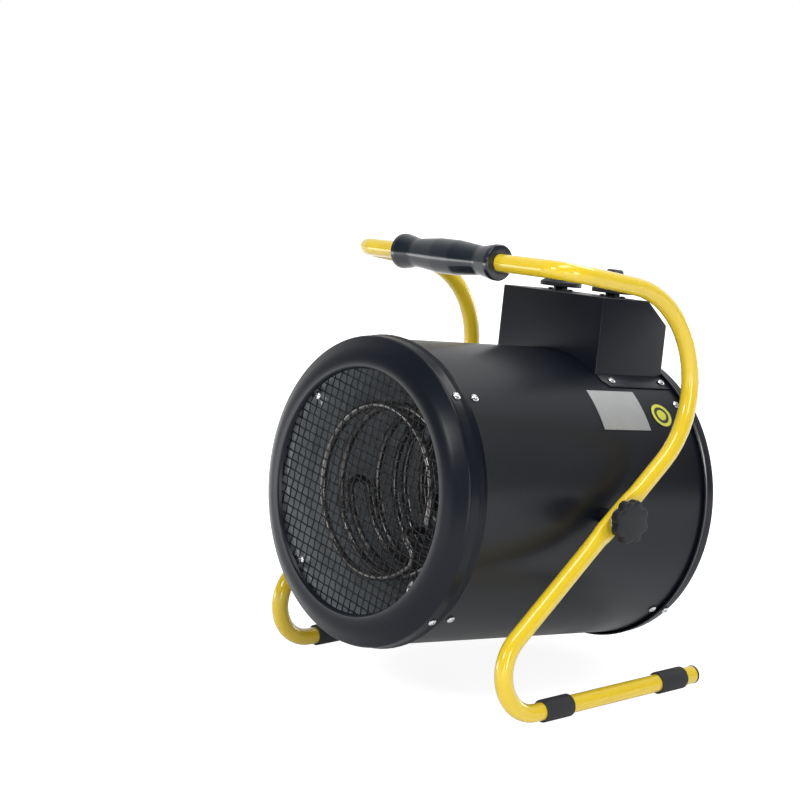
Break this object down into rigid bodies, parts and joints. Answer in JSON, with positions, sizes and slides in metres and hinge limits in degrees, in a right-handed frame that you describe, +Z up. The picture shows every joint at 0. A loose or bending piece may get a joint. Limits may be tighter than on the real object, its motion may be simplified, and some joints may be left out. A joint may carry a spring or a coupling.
{
  "type": "forced air heater",
  "caption": "Portable drum fan heater: round steel casing with wire outlet guard, control box on top, tilting on a bent-tube stand with a carrying grip.",
  "frame": {"origin": "centre of the bounding box on the floor, under the drum", "axes": "+Z up, -Y the way the warm air leaves, +X to the right seen from the back"},
  "size_m": [0.3998, 0.409, 0.4671],
  "materials": {
    "yellow_paint": "gloss",
    "gloss_black_plastic": "gloss",
    "foot_rubber": "matte",
    "black_plastic": "matte",
    "zinc_steel": "bright zinc plate",
    "black_steel": "black oxide",
    "black_paint": "satin powder coat",
    "guard_wire": "satin",
    "galvanised_sheet": "galvanised",
    "element_sheath": "dull, heat-stained",
    "fan_alloy": "mill finish",
    "motor_casting": "painted casting",
    "ivory_plastic": "matte"
  },
  "bodies": {
    "stand": {"stand_tube": "yellow_paint", "handle_grip": "gloss_black_plastic", "foot_sleeve_front_right": "foot_rubber", "foot_sleeve_rear_right": "foot_rubber", "foot_sleeve_front_left": "foot_rubber", "foot_sleeve_rear_left": "foot_rubber", "tube_end_plug_right": "foot_rubber", "tube_end_plug_left": "foot_rubber", "clamp_washer_right": "zinc_steel", "clamp_washer_left": "zinc_steel"},
    "heater": {"thermal_cutout": "black_plastic", "cable_gland": "black_plastic", "pivot_nut_right": "zinc_steel", "pivot_nut_left": "zinc_steel", "bezel_screw_1": "zinc_steel", "bezel_screw_2": "zinc_steel", "bezel_screw_3": "zinc_steel", "bezel_screw_4": "zinc_steel", "rear_screw_1": "zinc_steel", "rear_screw_2": "zinc_steel", "rear_screw_3": "zinc_steel", "rear_screw_4": "zinc_steel", "box_screw_1": "zinc_steel", "box_screw_2": "zinc_steel", "box_screw_3": "zinc_steel", "box_screw_4": "zinc_steel", "selector_nut": "black_steel", "thermostat_nut": "black_steel", "casing_shell": "black_paint", "front_bezel": "black_paint", "rear_ring": "black_paint", "control_box_cover": "black_paint", "pivot_boss_right": "black_paint", "pivot_boss_left": "black_paint", "front_mesh": "guard_wire", "rear_mesh": "guard_wire", "inner_duct": "galvanised_sheet", "element_bracket": "galvanised_sheet", "motor_bracket": "galvanised_sheet", "heating_element_1": "element_sheath", "heating_element_2": "element_sheath", "heating_element_3": "element_sheath", "motor_body": "motor_casting", "rotary_switch": "ivory_plastic", "thermostat": "ivory_plastic", "terminal_strip": "ivory_plastic"},
    "clamp_right": {"clamp_knob_right": "black_plastic", "clamp_stud_right": "zinc_steel"},
    "clamp_left": {"clamp_knob_left": "black_plastic", "clamp_stud_left": "zinc_steel"},
    "fan": {"fan_rotor": "fan_alloy", "motor_shaft": "zinc_steel"},
    "selector": {"selector_knob": "black_plastic", "selector_spindle": "zinc_steel"},
    "thermostat_control": {"thermostat_knob": "black_plastic", "thermostat_spindle": "zinc_steel"}
  },
  "joints": [
    {"name": "tilt", "type": "hinge", "parent": "stand", "child": "heater", "pos_m": [0, 0.01383, 0.19359], "axis": [1, 0, 0], "range_deg": [-5, 15]},
    {"name": "clamp_right_turn", "type": "hinge", "parent": "heater", "child": "clamp_right", "pos_m": [0.19, 0.01383, 0.19359], "axis": [1, 0, 0], "continuous": true},
    {"name": "clamp_left_turn", "type": "hinge", "parent": "heater", "child": "clamp_left", "pos_m": [-0.19, 0.01383, 0.19359], "axis": [-1, 0, 0], "continuous": true},
    {"name": "fan_spin", "type": "hinge", "parent": "heater", "child": "fan", "pos_m": [0, 0.01383, 0.19359], "axis": [0, 0.9936, -0.1132], "continuous": true},
    {"name": "selector_turn", "type": "hinge", "parent": "heater", "child": "selector", "pos_m": [-0.04, 0.13698, 0.39998], "axis": [0, 0.1132, 0.9936], "range_deg": [-180, 0]},
    {"name": "thermostat_turn", "type": "hinge", "parent": "heater", "child": "thermostat_control", "pos_m": [0.04, 0.13698, 0.39998], "axis": [0, 0.1132, 0.9936], "range_deg": [-270, 0]}
  ]
}
